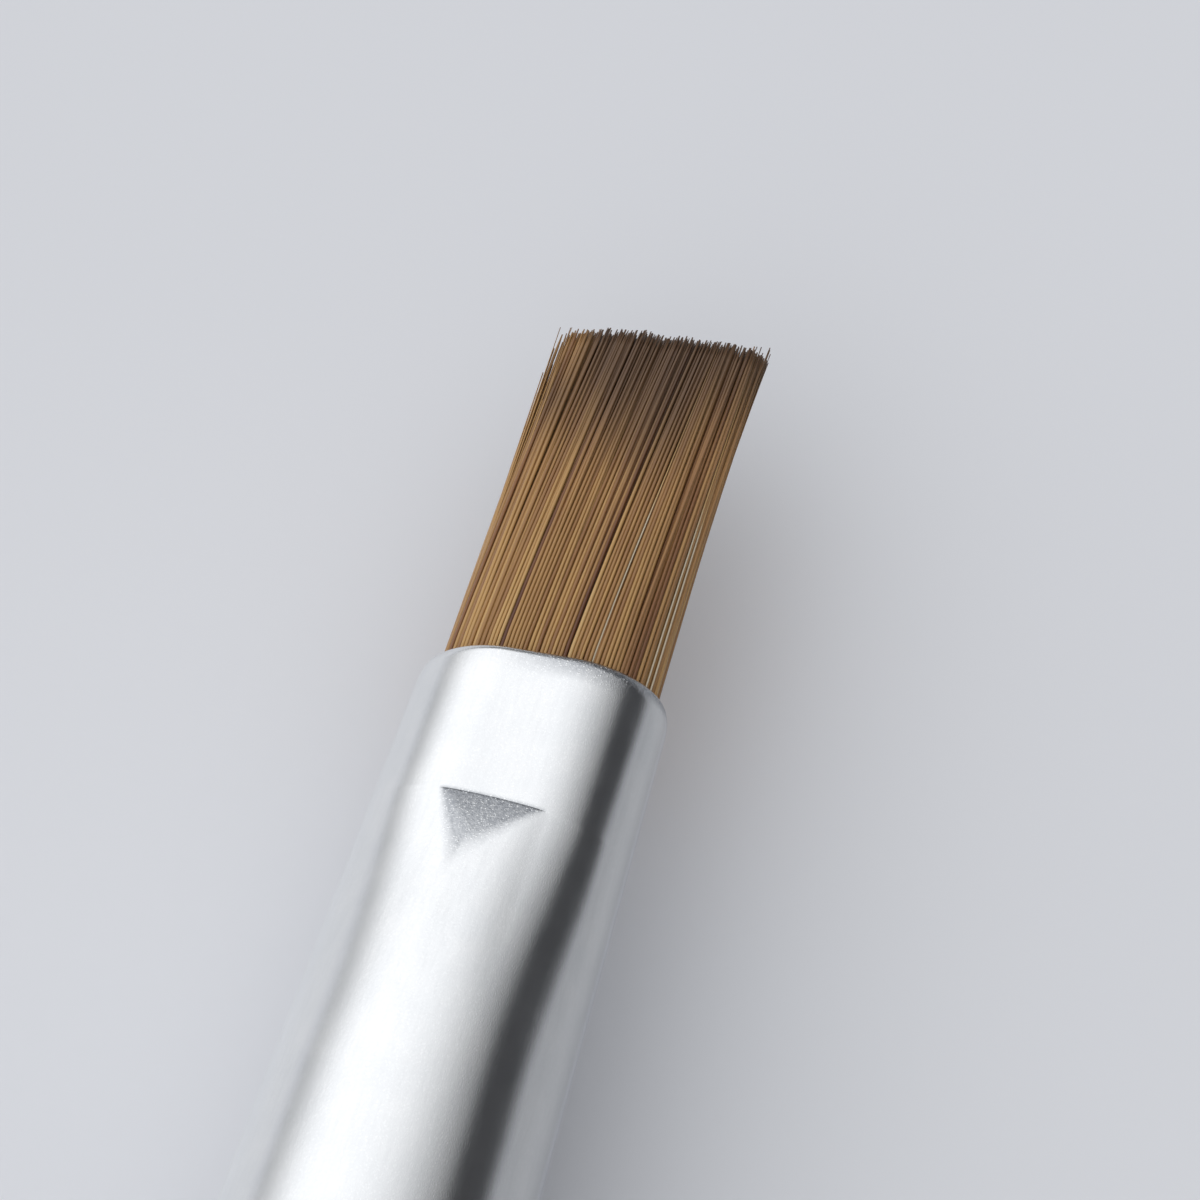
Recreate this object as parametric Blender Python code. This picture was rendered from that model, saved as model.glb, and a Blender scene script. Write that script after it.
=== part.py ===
# Lip brush with a flat tuft, a pressed aluminium ferrule, a tube handle and a cap carried on its tail.
# The brush lies on its side: +X points to the tip of the tuft and +Z is up.
import math
import random

import bmesh
import bpy
from mathutils import Vector

# Tubes of the handle and the cap
BODY_RADIUS = 0.0050
TUBE_WALL = 0.00036
TUBE_EDGE_ROUND = 0.00012
BARREL_LENGTH = 0.062
CAP_END_WALL = 0.0008
CAP_CORNER_RADIUS = 0.0009
CAP_INNER_CORNER_RADIUS = 0.0004
CAP_TIP_ROOM = 0.0025

# Clearances
SEAT_CLEARANCE = 0.00006
RUNNING_CLEARANCE = 0.00006
CAP_STOP_GAP = 0.0001

# Liner of the cap
LINER_WALL = 0.00042
LINER_LENGTH = 0.0088
LINER_RECESS = 0.0002
LINER_LEAD_IN = 0.00015

# Neck core and tail plug
FLANGE_LENGTH = 0.0008
FLANGE_EDGE_ROUND = 0.0001
NECK_LENGTH = 0.0085
NECK_CHAMFER = 0.00012
NOSE_LENGTH = 0.0080
NOSE_CHAMFER = 0.0003
BARREL_PLUG_LENGTH = 0.0095
BARREL_PLUG_CHAMFER = 0.0003
TAIL_SPIGOT_LENGTH = 0.0080
TAIL_SPIGOT_CHAMFER = 0.0004

# Ferrule
FERRULE_LENGTH = 0.0205
FERRULE_WALL = 0.00040
FERRULE_BASE_STEP = 0.00018
FERRULE_RIM_FLAT = 0.00012
MOUTH_HALF_WIDTH = 0.00318
MOUTH_HALF_HEIGHT = 0.00213
MOUTH_FLAT_HALF_WIDTH = 0.00079
MOUTH_SLANT_ANGLE = math.radians(3.7)
CREASE_DEPTH = 0.00455
CREASE_HALF_HEIGHT = 0.00246
CREASE_FLAT_HALF_WIDTH = 0.00090
ARC_JOINT_ANGLE = math.radians(50.0)
RAMP_LENGTH = 0.0080
RAMP_FLAT_POWER = 3.0
SWELL_HEIGHT = 0.00024
SWELL_LENGTH = 0.0045
SWELL_HALF_WIDTH = 0.0014

# Root adhesive
ADHESIVE_LENGTH = 0.0070

# Bristle tuft
TUFT_LENGTH = 0.0107
TUFT_CLEARANCE = 0.00003
TUFT_ROOT_DEPTH = 0.0003
TUFT_SLICE_THICKNESS = 0.0008
TUFT_BEND = 0.00016
TUFT_CUT_SLANT = 0.00058
TUFT_UNEVENNESS = 0.00022
TIP_WIDTH_SHARE = 0.93
TIP_THICKNESS_SHARE = 0.38
STRAND_WIDTH_SHARE = 0.80
STRAND_TIP_SHARE = 0.72
STRAND_JOINT_SHARE = 0.5
STRANDS_ACROSS = 26
STRANDS_DEEP = 13
STRAND_SEED = 28
TUFT_END_ANGLE = math.radians(12.0)

# Facets
BODY_SIDES = 32
FERRULE_SIDES = 48
FLAT_STEPS = 4
CORNER_STEPS = 5
RIM_STEPS = 3
RAMP_STEPS = 10
SMOOTH_ANGLE = math.radians(35.0)
MERGE_DISTANCE = 0.0000001

# Sizes that follow
AXIS_HEIGHT = BODY_RADIUS * math.cos(math.pi / BODY_SIDES)
TUBE_BORE_RADIUS = BODY_RADIUS - TUBE_WALL
PLUG_RADIUS = TUBE_BORE_RADIUS - SEAT_CLEARANCE
LINER_BORE_RADIUS = PLUG_RADIUS - LINER_WALL
NECK_RADIUS = LINER_BORE_RADIUS - RUNNING_CLEARANCE
FERRULE_BASE_RADIUS = NECK_RADIUS - FERRULE_BASE_STEP
CAP_DEPTH = NECK_LENGTH + SEAT_CLEARANCE + FERRULE_LENGTH + TUFT_LENGTH + CAP_TIP_ROOM
CAP_LENGTH = CAP_DEPTH + CAP_END_WALL
FERRULE_RIM_ROUND = FERRULE_WALL - FERRULE_RIM_FLAT
RAMP_END = CREASE_DEPTH + RAMP_LENGTH

# Places along the axis, counted from the closed end of the cap
CAP_MOUTH_PLACE = CAP_LENGTH
TAIL_FACE_PLACE = CAP_MOUTH_PLACE + CAP_STOP_GAP
BARREL_TAIL_PLACE = TAIL_FACE_PLACE + FLANGE_LENGTH + SEAT_CLEARANCE
BARREL_FRONT_PLACE = BARREL_TAIL_PLACE + BARREL_LENGTH
NECK_ROOT_PLACE = BARREL_FRONT_PLACE + SEAT_CLEARANCE + FLANGE_LENGTH
FERRULE_BASE_PLACE = NECK_ROOT_PLACE + NECK_LENGTH + SEAT_CLEARANCE
MOUTH_PLACE = FERRULE_BASE_PLACE + FERRULE_LENGTH
TIP_PLACE = MOUTH_PLACE + TUFT_LENGTH
MIDDLE_PLACE = TIP_PLACE / 2


def make_material(name, colour, roughness, metallic):
    material = bpy.data.materials.new(name)
    material.use_nodes = True
    shader = material.node_tree.nodes["Principled BSDF"]
    shader.inputs["Base Color"].default_value = (*colour, 1.0)
    shader.inputs["Roughness"].default_value = roughness
    shader.inputs["Metallic"].default_value = metallic
    material.diffuse_color = (*colour, 1.0)
    return material


def filament_material():
    return make_material("filament_brown", (0.22, 0.13, 0.07), 0.45, 0.0)


def adhesive_material():
    return make_material("adhesive_amber", (0.35, 0.24, 0.12), 0.30, 0.0)


def ferrule_material():
    return make_material("ferrule_aluminium", (0.80, 0.81, 0.83), 0.24, 1.0)


def tube_material():
    return make_material("tube_aluminium", (0.76, 0.77, 0.79), 0.28, 1.0)


def plastic_material():
    return make_material("black_plastic", (0.02, 0.02, 0.022), 0.35, 0.0)


def liner_material():
    return make_material("liner_plastic", (0.05, 0.05, 0.055), 0.45, 0.0)


def add_empty(name, place, parent):
    empty = bpy.data.objects.new(name, None)
    bpy.context.scene.collection.objects.link(empty)
    empty.parent = parent
    empty.location = (place, 0.0, 0.0)
    return empty


def add_piece(name, mesh_builder, material, parent, place):
    mesh = bpy.data.meshes.new(name)
    builder = bmesh.new()
    mesh_builder(builder)
    bmesh.ops.recalc_face_normals(builder, faces=builder.faces)
    builder.to_mesh(mesh)
    builder.free()
    mesh.materials.append(material)
    piece = bpy.data.objects.new(name, mesh)
    bpy.context.scene.collection.objects.link(piece)
    piece.parent = parent
    piece.location = (place, 0.0, 0.0)
    return piece


def shade_round(piece):
    piece.data.shade_smooth()
    piece.data.set_sharp_from_angle(angle=SMOOTH_ANGLE)


def corner_arc(centre_x, centre_radius, radius, start_angle, end_angle, steps):
    points = []
    for step in range(steps + 1):
        angle = start_angle + (end_angle - start_angle) * step / steps
        points.append((centre_x + radius * math.cos(angle), centre_radius + radius * math.sin(angle)))
    return points


def turn_profile(builder, profile, closed):
    # Half a step of turn lets a facet, not an edge, face straight down.
    half_step = math.pi / BODY_SIDES
    points = []
    for x, radius in profile:
        points.append(builder.verts.new((x, radius * math.sin(half_step), radius * math.cos(half_step))))
    edges = [builder.edges.new(pair) for pair in zip(points, points[1:])]
    if closed:
        edges.append(builder.edges.new((points[-1], points[0])))
    bmesh.ops.spin(
        builder,
        geom=points + edges,
        cent=(0.0, 0.0, 0.0),
        axis=(1.0, 0.0, 0.0),
        angle=math.tau,
        steps=BODY_SIDES,
        use_merge=True,
    )
    bmesh.ops.remove_doubles(builder, verts=builder.verts, dist=MERGE_DISTANCE)


# Barrel: a plain tube with lightly rounded edges, its front end at the local origin
def build_barrel(builder):
    edge = TUBE_EDGE_ROUND
    profile = [
        (0.0, TUBE_BORE_RADIUS),
        (0.0, BODY_RADIUS - edge),
        (-edge, BODY_RADIUS),
        (edge - BARREL_LENGTH, BODY_RADIUS),
        (-BARREL_LENGTH, BODY_RADIUS - edge),
        (-BARREL_LENGTH, TUBE_BORE_RADIUS),
    ]
    turn_profile(builder, profile, True)


# Neck core: barrel plug, flange, neck and tapered nose, the neck's root at the local origin
def build_neck_core(builder):
    plug_end = -FLANGE_LENGTH - BARREL_PLUG_LENGTH
    nose_base_radius = FERRULE_BASE_RADIUS - FERRULE_WALL - SEAT_CLEARANCE
    nose_tip_radius = nose_base_radius - cone_taper() * NOSE_LENGTH
    profile = [
        (plug_end, 0.0),
        (plug_end, PLUG_RADIUS - BARREL_PLUG_CHAMFER),
        (plug_end + BARREL_PLUG_CHAMFER, PLUG_RADIUS),
        (-FLANGE_LENGTH, PLUG_RADIUS),
        (-FLANGE_LENGTH, BODY_RADIUS - FLANGE_EDGE_ROUND),
        (FLANGE_EDGE_ROUND - FLANGE_LENGTH, BODY_RADIUS),
        (-FLANGE_EDGE_ROUND, BODY_RADIUS),
        (0.0, BODY_RADIUS - FLANGE_EDGE_ROUND),
        (0.0, NECK_RADIUS),
        (NECK_LENGTH - NECK_CHAMFER, NECK_RADIUS),
        (NECK_LENGTH, NECK_RADIUS - NECK_CHAMFER),
        (NECK_LENGTH, nose_base_radius),
        (NECK_LENGTH + NOSE_LENGTH - NOSE_CHAMFER, nose_tip_radius),
        (NECK_LENGTH + NOSE_LENGTH, nose_tip_radius - NOSE_CHAMFER),
        (NECK_LENGTH + NOSE_LENGTH, 0.0),
    ]
    turn_profile(builder, profile, False)


# Tail plug: spigot for the cap, flange and barrel plug, the spigot's root at the local origin
def build_tail_plug(builder):
    plug_end = FLANGE_LENGTH + BARREL_PLUG_LENGTH
    profile = [
        (-TAIL_SPIGOT_LENGTH, 0.0),
        (-TAIL_SPIGOT_LENGTH, NECK_RADIUS - TAIL_SPIGOT_CHAMFER),
        (TAIL_SPIGOT_CHAMFER - TAIL_SPIGOT_LENGTH, NECK_RADIUS),
        (0.0, NECK_RADIUS),
        (0.0, BODY_RADIUS - FLANGE_EDGE_ROUND),
        (FLANGE_EDGE_ROUND, BODY_RADIUS),
        (FLANGE_LENGTH - FLANGE_EDGE_ROUND, BODY_RADIUS),
        (FLANGE_LENGTH, BODY_RADIUS - FLANGE_EDGE_ROUND),
        (FLANGE_LENGTH, PLUG_RADIUS),
        (plug_end - BARREL_PLUG_CHAMFER, PLUG_RADIUS),
        (plug_end, PLUG_RADIUS - BARREL_PLUG_CHAMFER),
        (plug_end, 0.0),
    ]
    turn_profile(builder, profile, False)


# Cap shell: drawn in one piece, open at its mouth, which is the local origin
def build_cap_shell(builder):
    outer = corner_arc(
        CAP_CORNER_RADIUS - CAP_LENGTH,
        BODY_RADIUS - CAP_CORNER_RADIUS,
        CAP_CORNER_RADIUS,
        math.pi / 2,
        math.pi,
        CORNER_STEPS,
    )
    inner = corner_arc(
        CAP_INNER_CORNER_RADIUS - CAP_DEPTH,
        TUBE_BORE_RADIUS - CAP_INNER_CORNER_RADIUS,
        CAP_INNER_CORNER_RADIUS,
        math.pi,
        math.pi / 2,
        CORNER_STEPS,
    )
    mouth = [
        (0.0, TUBE_BORE_RADIUS),
        (0.0, BODY_RADIUS - TUBE_EDGE_ROUND),
        (-TUBE_EDGE_ROUND, BODY_RADIUS),
    ]
    profile = [(-CAP_DEPTH, 0.0)] + inner + mouth + outer + [(-CAP_LENGTH, 0.0)]
    turn_profile(builder, profile, False)


# Cap liner: sleeve in the cap's mouth, placed from the mouth
def build_cap_liner(builder):
    profile = [
        (-LINER_RECESS, LINER_BORE_RADIUS + LINER_LEAD_IN),
        (-LINER_RECESS, PLUG_RADIUS),
        (-LINER_RECESS - LINER_LENGTH, PLUG_RADIUS),
        (-LINER_RECESS - LINER_LENGTH, LINER_BORE_RADIUS),
        (-LINER_RECESS - LINER_LEAD_IN, LINER_BORE_RADIUS),
    ]
    turn_profile(builder, profile, True)


def cone_taper():
    return (FERRULE_BASE_RADIUS - MOUTH_HALF_WIDTH) / FERRULE_LENGTH


# Section of the ferrule's outside at a depth behind its mouth: half width, half height, flat half width
def ferrule_section(depth):
    half_width = MOUTH_HALF_WIDTH + cone_taper() * depth
    if depth <= CREASE_DEPTH:
        share = depth / CREASE_DEPTH
        half_height = MOUTH_HALF_HEIGHT + (CREASE_HALF_HEIGHT - MOUTH_HALF_HEIGHT) * share
        flat = MOUTH_FLAT_HALF_WIDTH + (CREASE_FLAT_HALF_WIDTH - MOUTH_FLAT_HALF_WIDTH) * share
        return half_width, half_height, flat
    if depth >= RAMP_END:
        return half_width, half_width, 0.0
    share = (depth - CREASE_DEPTH) / RAMP_LENGTH
    rise = (CREASE_HALF_HEIGHT - MOUTH_HALF_HEIGHT) / CREASE_DEPTH - cone_taper()
    crease_drop = MOUTH_HALF_WIDTH + cone_taper() * CREASE_DEPTH - CREASE_HALF_HEIGHT
    drop = (crease_drop * (1 + 2 * share) - rise * RAMP_LENGTH * share) * (1 - share) ** 2
    return half_width, half_width - drop, CREASE_FLAT_HALF_WIDTH * (1 - share) ** RAMP_FLAT_POWER


# Radii of the two arcs between the flat and the side: the crown's, and the side's from the joint angle on
def arc_radii(half_width, half_height, flat):
    joint_sine = math.sin(ARC_JOINT_ANGLE)
    joint_cosine = math.cos(ARC_JOINT_ANGLE)
    closing = 1 - joint_cosine - joint_sine
    reach = half_width - flat
    crown = (half_height * (1 - joint_sine) - reach * joint_cosine) / closing
    side = (reach * (1 - joint_cosine) - half_height * joint_sine) / closing
    return crown, side


# Height of the section over a place across its width, drawn in by an inset
def section_height(depth, across, inset):
    half_width, half_height, flat = ferrule_section(depth)
    crown, side = arc_radii(half_width, half_height, flat)
    beyond = max(0.0, abs(across) - flat)
    if beyond <= (crown - inset) * math.sin(ARC_JOINT_ANGLE):
        return half_height - crown + math.sqrt((crown - inset) ** 2 - beyond ** 2)
    return math.sqrt((side - inset) ** 2 - (abs(across) - half_width + side) ** 2)


# Place across the width at which the section's outside faces an angle, drawn in by an inset
def section_across(depth, angle, inset):
    half_width, half_height, flat = ferrule_section(depth)
    crown, side = arc_radii(half_width, half_height, flat)
    if abs(math.cos(angle)) < math.sin(ARC_JOINT_ANGLE):
        across = flat + (crown - inset) * abs(math.cos(angle))
    else:
        across = half_width - side + (side - inset) * abs(math.cos(angle))
    return math.copysign(across, math.cos(angle))


# Extra height of the metal that the pressing pushed up behind the crease
def ramp_swell(depth, across):
    share = (depth - CREASE_DEPTH) / SWELL_LENGTH
    if not 0.0 < share < 1.0 or abs(across) >= SWELL_HALF_WIDTH:
        return 0.0
    along = share * (1 - share) ** 2 * 27 / 4
    return SWELL_HEIGHT * along * (1 - (across / SWELL_HALF_WIDTH) ** 2) ** 2


# Place along the axis: the mouth is cut a little aslant, which eases out towards the crease
def slanted_place(depth, across):
    share = max(0.0, 1 - depth / CREASE_DEPTH)
    return -depth - math.tan(MOUTH_SLANT_ANGLE) * across * share


def ferrule_stations(start, end):
    ramp = [CREASE_DEPTH + RAMP_LENGTH * step / RAMP_STEPS for step in range(RAMP_STEPS + 1)]
    return [start] + [depth for depth in ramp if start < depth < end] + [end]


# Places across the upper half of a ring from one side to the other, with extra ones on its flat
def ring_places(depth, inset):
    half_turn = FERRULE_SIDES // 2
    angles = [math.tau * (side + 0.5) / FERRULE_SIDES for side in range(half_turn)]
    places = [section_across(depth, angle, inset) for angle in angles]
    edge = places[half_turn // 2 - 1]
    on_flat = [edge * (1 - 2 * step / FLAT_STEPS) for step in range(1, FLAT_STEPS)]
    return places[: half_turn // 2] + on_flat + places[half_turn // 2 :]


# Ring of the ferrule's section, drawn in by an inset
def add_section_ring(builder, depth, inset):
    upper = []
    for y in ring_places(depth, inset):
        upper.append((y, section_height(depth, y, inset) + ramp_swell(depth, y)))
    lower = [(-y, -z) for y, z in upper]
    return [builder.verts.new((slanted_place(depth, y), y, z)) for y, z in upper + lower]


def join_rings(builder, rings, closed):
    pairs = list(zip(rings, rings[1:]))
    if closed:
        pairs.append((rings[-1], rings[0]))
    for first, second in pairs:
        for side in range(len(first)):
            following = (side + 1) % len(first)
            builder.faces.new((first[side], first[following], second[following], second[side]))
    if not closed:
        builder.faces.new(rings[0])
        builder.faces.new(rings[-1])


# Ferrule: thin cone, pressed flat on both sides at its mouth, which is the local origin
def build_ferrule(builder):
    outer = []
    for step in range(RIM_STEPS + 1):
        angle = math.pi / 2 * step / RIM_STEPS
        depth = FERRULE_RIM_ROUND * (1 - math.sin(angle))
        outer.append((depth, FERRULE_RIM_ROUND * (1 - math.cos(angle))))
    outer.reverse()
    start = outer[-1][0]
    outer += [(depth, 0.0) for depth in ferrule_stations(start, FERRULE_LENGTH)[1:]]
    inner = [(depth, FERRULE_WALL) for depth in reversed(ferrule_stations(0.0, FERRULE_LENGTH))]
    rings = [add_section_ring(builder, depth, inset) for depth, inset in outer + inner]
    join_rings(builder, rings, True)


# Root adhesive: fills the ferrule behind the tuft, placed from the mouth
def build_root_adhesive(builder):
    start = TUFT_ROOT_DEPTH + TUFT_SLICE_THICKNESS + SEAT_CLEARANCE
    inset = FERRULE_WALL + SEAT_CLEARANCE
    stations = ferrule_stations(start, start + ADHESIVE_LENGTH)
    rings = [add_section_ring(builder, depth, inset) for depth in stations]
    join_rings(builder, rings, False)


# A root point carried along the tuft, at a share of its length: drawn in and bent aside
def along_tuft(y, z, share, length):
    width_scale = 1 + (TIP_WIDTH_SHARE - 1) * share
    thickness_scale = 1 + (TIP_THICKNESS_SHARE - 1) * share
    x = slanted_place(TUFT_ROOT_DEPTH, y) * (1 - share) + (length - TUFT_ROOT_DEPTH) * share
    return x, y * width_scale - TUFT_BEND * share ** 2, z * thickness_scale


# Lengths of the strands from the root slice, the longest one ending at the tip of the brush
def strand_lengths(places, half_width):
    shuffle = random.Random(STRAND_SEED)
    short = []
    for y, z in places:
        slant = TUFT_CUT_SLANT * (y / half_width + 1) / 2
        short.append(slant + TUFT_UNEVENNESS * shuffle.random())
    least = min(short)
    return [TUFT_LENGTH + TUFT_ROOT_DEPTH - (value - least) for value in short]


def face_middle(face):
    middle = face.calc_center_median()
    return middle.y, middle.z


# Moves each strand's end face along the tuft, from the root points and the length that its corners carry
def place_strand_ends(faces, root_layer, share, width_share):
    for face in faces:
        corners = [vertex[root_layer].copy() for vertex in face.verts]
        middle = sum(corners, Vector()) / len(corners)
        for vertex, corner in zip(face.verts, corners):
            drawn = middle.lerp(corner, width_share)
            vertex.co = along_tuft(drawn.y, drawn.z, share, drawn.x)


# Slice of the strands' adhesive backing: returns the cells of its front, one for each strand
def add_tuft_slice(builder, half_width, inset):
    columns = []
    for column in range(STRANDS_ACROSS + 1):
        y = half_width * (2 * column / STRANDS_ACROSS - 1)
        x = slanted_place(TUFT_ROOT_DEPTH, y)
        half_height = section_height(0.0, y, inset)
        rows = [half_height * (2 * row / STRANDS_DEEP - 1) for row in range(STRANDS_DEEP + 1)]
        columns.append([builder.verts.new((x, y, z)) for z in rows])
    cells = []
    for left, right in zip(columns, columns[1:]):
        for row in range(STRANDS_DEEP):
            cells.append(builder.faces.new((left[row], right[row], right[row + 1], left[row + 1])))
    rim = [edge for edge in builder.edges if edge.is_boundary]
    skirt = bmesh.ops.extrude_edge_only(builder, edges=rim)
    for point in skirt["geom"]:
        if isinstance(point, bmesh.types.BMVert):
            point.co.x = slanted_place(TUFT_ROOT_DEPTH + TUFT_SLICE_THICKNESS, point.co.y)
    back_edges = [edge for edge in builder.edges if edge.is_boundary]
    bmesh.ops.contextual_create(builder, geom=back_edges)
    return cells


# Bristle tuft: strands that grow from a slice of their adhesive backing, placed from the ferrule's mouth
def build_bristle_tuft(builder):
    inset = FERRULE_WALL + TUFT_CLEARANCE
    half_width = section_across(0.0, TUFT_END_ANGLE, inset)
    cells = add_tuft_slice(builder, half_width, inset)
    root_layer = builder.verts.layers.float_vector.new("root_point")
    feet = bmesh.ops.extrude_discrete_faces(builder, faces=cells)["faces"]
    lengths = strand_lengths([face_middle(face) for face in feet], half_width)
    for face, length in zip(feet, lengths):
        middle_y, middle_z = face_middle(face)
        for vertex in face.verts:
            vertex.co.y = middle_y + (vertex.co.y - middle_y) * STRAND_WIDTH_SHARE
            vertex.co.z = middle_z + (vertex.co.z - middle_z) * STRAND_WIDTH_SHARE
            vertex[root_layer] = (length, vertex.co.y, vertex.co.z)
    middles = bmesh.ops.extrude_discrete_faces(builder, faces=feet)["faces"]
    place_strand_ends(middles, root_layer, STRAND_JOINT_SHARE, 1.0)
    tips = bmesh.ops.extrude_discrete_faces(builder, faces=middles)["faces"]
    place_strand_ends(tips, root_layer, 1.0, STRAND_TIP_SHARE)
    builder.verts.layers.float_vector.remove(root_layer)


def build_brush():
    brush_axis = bpy.data.objects.new("brush_axis", None)
    bpy.context.scene.collection.objects.link(brush_axis)
    brush_axis.location = (0.0, 0.0, AXIS_HEIGHT)
    head = add_empty("head_mouth", MOUTH_PLACE - MIDDLE_PLACE, brush_axis)
    cap = add_empty("cap_slide", CAP_MOUTH_PLACE - MIDDLE_PLACE, brush_axis)

    plastic = plastic_material()
    tube = tube_material()
    add_piece("bristle_tuft", build_bristle_tuft, filament_material(), head, 0.0)
    adhesive = add_piece("root_adhesive", build_root_adhesive, adhesive_material(), head, 0.0)
    ferrule = add_piece("ferrule", build_ferrule, ferrule_material(), head, 0.0)
    neck_place = NECK_ROOT_PLACE - MIDDLE_PLACE
    neck = add_piece("neck_core", build_neck_core, plastic, brush_axis, neck_place)
    barrel_place = BARREL_FRONT_PLACE - MIDDLE_PLACE
    barrel = add_piece("barrel_tube", build_barrel, tube, brush_axis, barrel_place)
    tail = add_piece("tail_plug", build_tail_plug, plastic, brush_axis, TAIL_FACE_PLACE - MIDDLE_PLACE)
    shell = add_piece("cap_shell", build_cap_shell, tube, cap, 0.0)
    liner = add_piece("cap_liner", build_cap_liner, liner_material(), cap, 0.0)
    for piece in (adhesive, ferrule, neck, barrel, tail, shell, liner):
        shade_round(piece)


for existing in list(bpy.data.objects):
    bpy.data.objects.remove(existing, do_unlink=True)
build_brush()
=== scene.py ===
# Looks of a slim lip brush: a flat tuft in a pressed aluminium ferrule, a tube handle and a cap on its tail.
import math

import bmesh
import bpy
import numpy as np
from mathutils import Matrix, Vector


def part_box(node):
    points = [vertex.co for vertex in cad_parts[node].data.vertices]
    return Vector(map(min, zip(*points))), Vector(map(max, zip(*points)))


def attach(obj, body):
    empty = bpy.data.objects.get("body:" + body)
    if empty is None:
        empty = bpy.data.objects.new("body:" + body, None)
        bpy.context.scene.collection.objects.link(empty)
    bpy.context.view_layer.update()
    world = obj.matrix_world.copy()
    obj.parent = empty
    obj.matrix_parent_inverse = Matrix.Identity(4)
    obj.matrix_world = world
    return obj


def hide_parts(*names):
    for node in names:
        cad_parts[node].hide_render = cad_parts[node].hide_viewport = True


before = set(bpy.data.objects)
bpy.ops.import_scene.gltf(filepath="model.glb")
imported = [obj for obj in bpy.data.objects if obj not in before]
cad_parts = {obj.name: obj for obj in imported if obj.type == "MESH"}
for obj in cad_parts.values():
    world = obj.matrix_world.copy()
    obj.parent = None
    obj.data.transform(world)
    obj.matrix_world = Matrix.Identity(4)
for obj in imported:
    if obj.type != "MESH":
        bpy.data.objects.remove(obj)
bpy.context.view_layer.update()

MM = 0.001
X_AXIS = (1.0, 0.0, 0.0)
Y_AXIS = (0.0, 1.0, 0.0)
Z_AXIS = (0.0, 0.0, 1.0)

# Places of the CAD pieces along the axis, in metres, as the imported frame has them
AXIS_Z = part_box("barrel_tube")[1].z / 2
CAP_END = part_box("cap_shell")[0].x
CAP_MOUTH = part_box("cap_shell")[1].x
LINER_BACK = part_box("cap_liner")[0].x
LINER_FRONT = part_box("cap_liner")[1].x
TAIL_SPIGOT_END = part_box("tail_plug")[0].x
TAIL_PLUG_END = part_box("tail_plug")[1].x
BARREL_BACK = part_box("barrel_tube")[0].x
BARREL_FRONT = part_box("barrel_tube")[1].x
NECK_PLUG_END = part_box("neck_core")[0].x
NOSE_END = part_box("neck_core")[1].x
FERRULE_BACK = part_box("ferrule")[0].x
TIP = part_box("bristle_tuft")[1].x

# Radii of the turned pieces. The CAD's tubes have flats, and these fit inside the flats.
ROUND_SHARE = math.cos(math.pi / 32)
BODY_RADIUS = 5.0 * MM * ROUND_SHARE
BORE_RADIUS = 4.64 * MM * ROUND_SHARE
PLUG_RADIUS = 4.58 * MM * ROUND_SHARE
LINER_BORE = 4.16 * MM * ROUND_SHARE
NECK_RADIUS = 4.10 * MM * ROUND_SHARE
NOSE_BASE_RADIUS = 3.46 * MM * ROUND_SHARE
NOSE_TIP_RADIUS = 3.17 * MM * ROUND_SHARE
FLANGE_LENGTH = 0.8 * MM
NECK_LENGTH = 8.5 * MM
JOINT_GAP = 0.06 * MM
NECK_END = FERRULE_BACK - JOINT_GAP
NECK_ROOT = NECK_END - NECK_LENGTH
TAIL_ROOT = BARREL_BACK - JOINT_GAP - FLANGE_LENGTH

# Ferrule section, as in the CAD, with a flat that dies out a little later
FERRULE_LENGTH = 20.5 * MM
MOUTH = FERRULE_BACK + FERRULE_LENGTH
WALL = 0.40 * MM
MOUTH_HALF_WIDTH = 3.18 * MM
MOUTH_HALF_HEIGHT = 2.13 * MM
MOUTH_FLAT = 0.79 * MM
MOUTH_SLANT = math.tan(math.radians(3.7))
BASE_RADIUS = 3.92 * MM
CREASE_DEPTH = 4.55 * MM
CREASE_HALF_HEIGHT = 2.46 * MM
CREASE_FLAT = 0.90 * MM
ARC_JOINT = math.radians(50.0)
RAMP_LENGTH = 8.0 * MM
RAMP_FLAT_POWER = 1.8
TAPER = (BASE_RADIUS - MOUTH_HALF_WIDTH) / FERRULE_LENGTH

TUFT_LENGTH = TIP - MOUTH
TUFT_SEED = 28


def link(piece):
    bpy.context.scene.collection.objects.link(piece)
    return piece


def mesh_piece(name, points, faces, material):
    mesh = bpy.data.meshes.new(name)
    mesh.from_pydata([tuple(point) for point in points], [], [tuple(face) for face in faces])
    builder = bmesh.new()
    builder.from_mesh(mesh)
    bmesh.ops.recalc_face_normals(builder, faces=builder.faces)
    builder.to_mesh(mesh)
    builder.free()
    mesh.shade_smooth()
    mesh.materials.append(material)
    return link(bpy.data.objects.new(name, mesh))


# One number for every vertex, for the materials to read
def set_values(mesh, name, values):
    layer = mesh.attributes.new(name, "FLOAT", "POINT")
    layer.data.foreach_set("value", np.ascontiguousarray(values, dtype=np.float32))


def dress(piece, node, body):
    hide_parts(node)
    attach(piece, body)


def limited(value, low=0.0, high=1.0):
    return min(high, max(low, value))


def bell(value, width):
    return math.exp(-((value / width) ** 2))


# ---------------------------------------------------------------- materials


# Nearly all values of a noise lie in this range
NOISE_RANGE = (0.3, 0.7)


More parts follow.
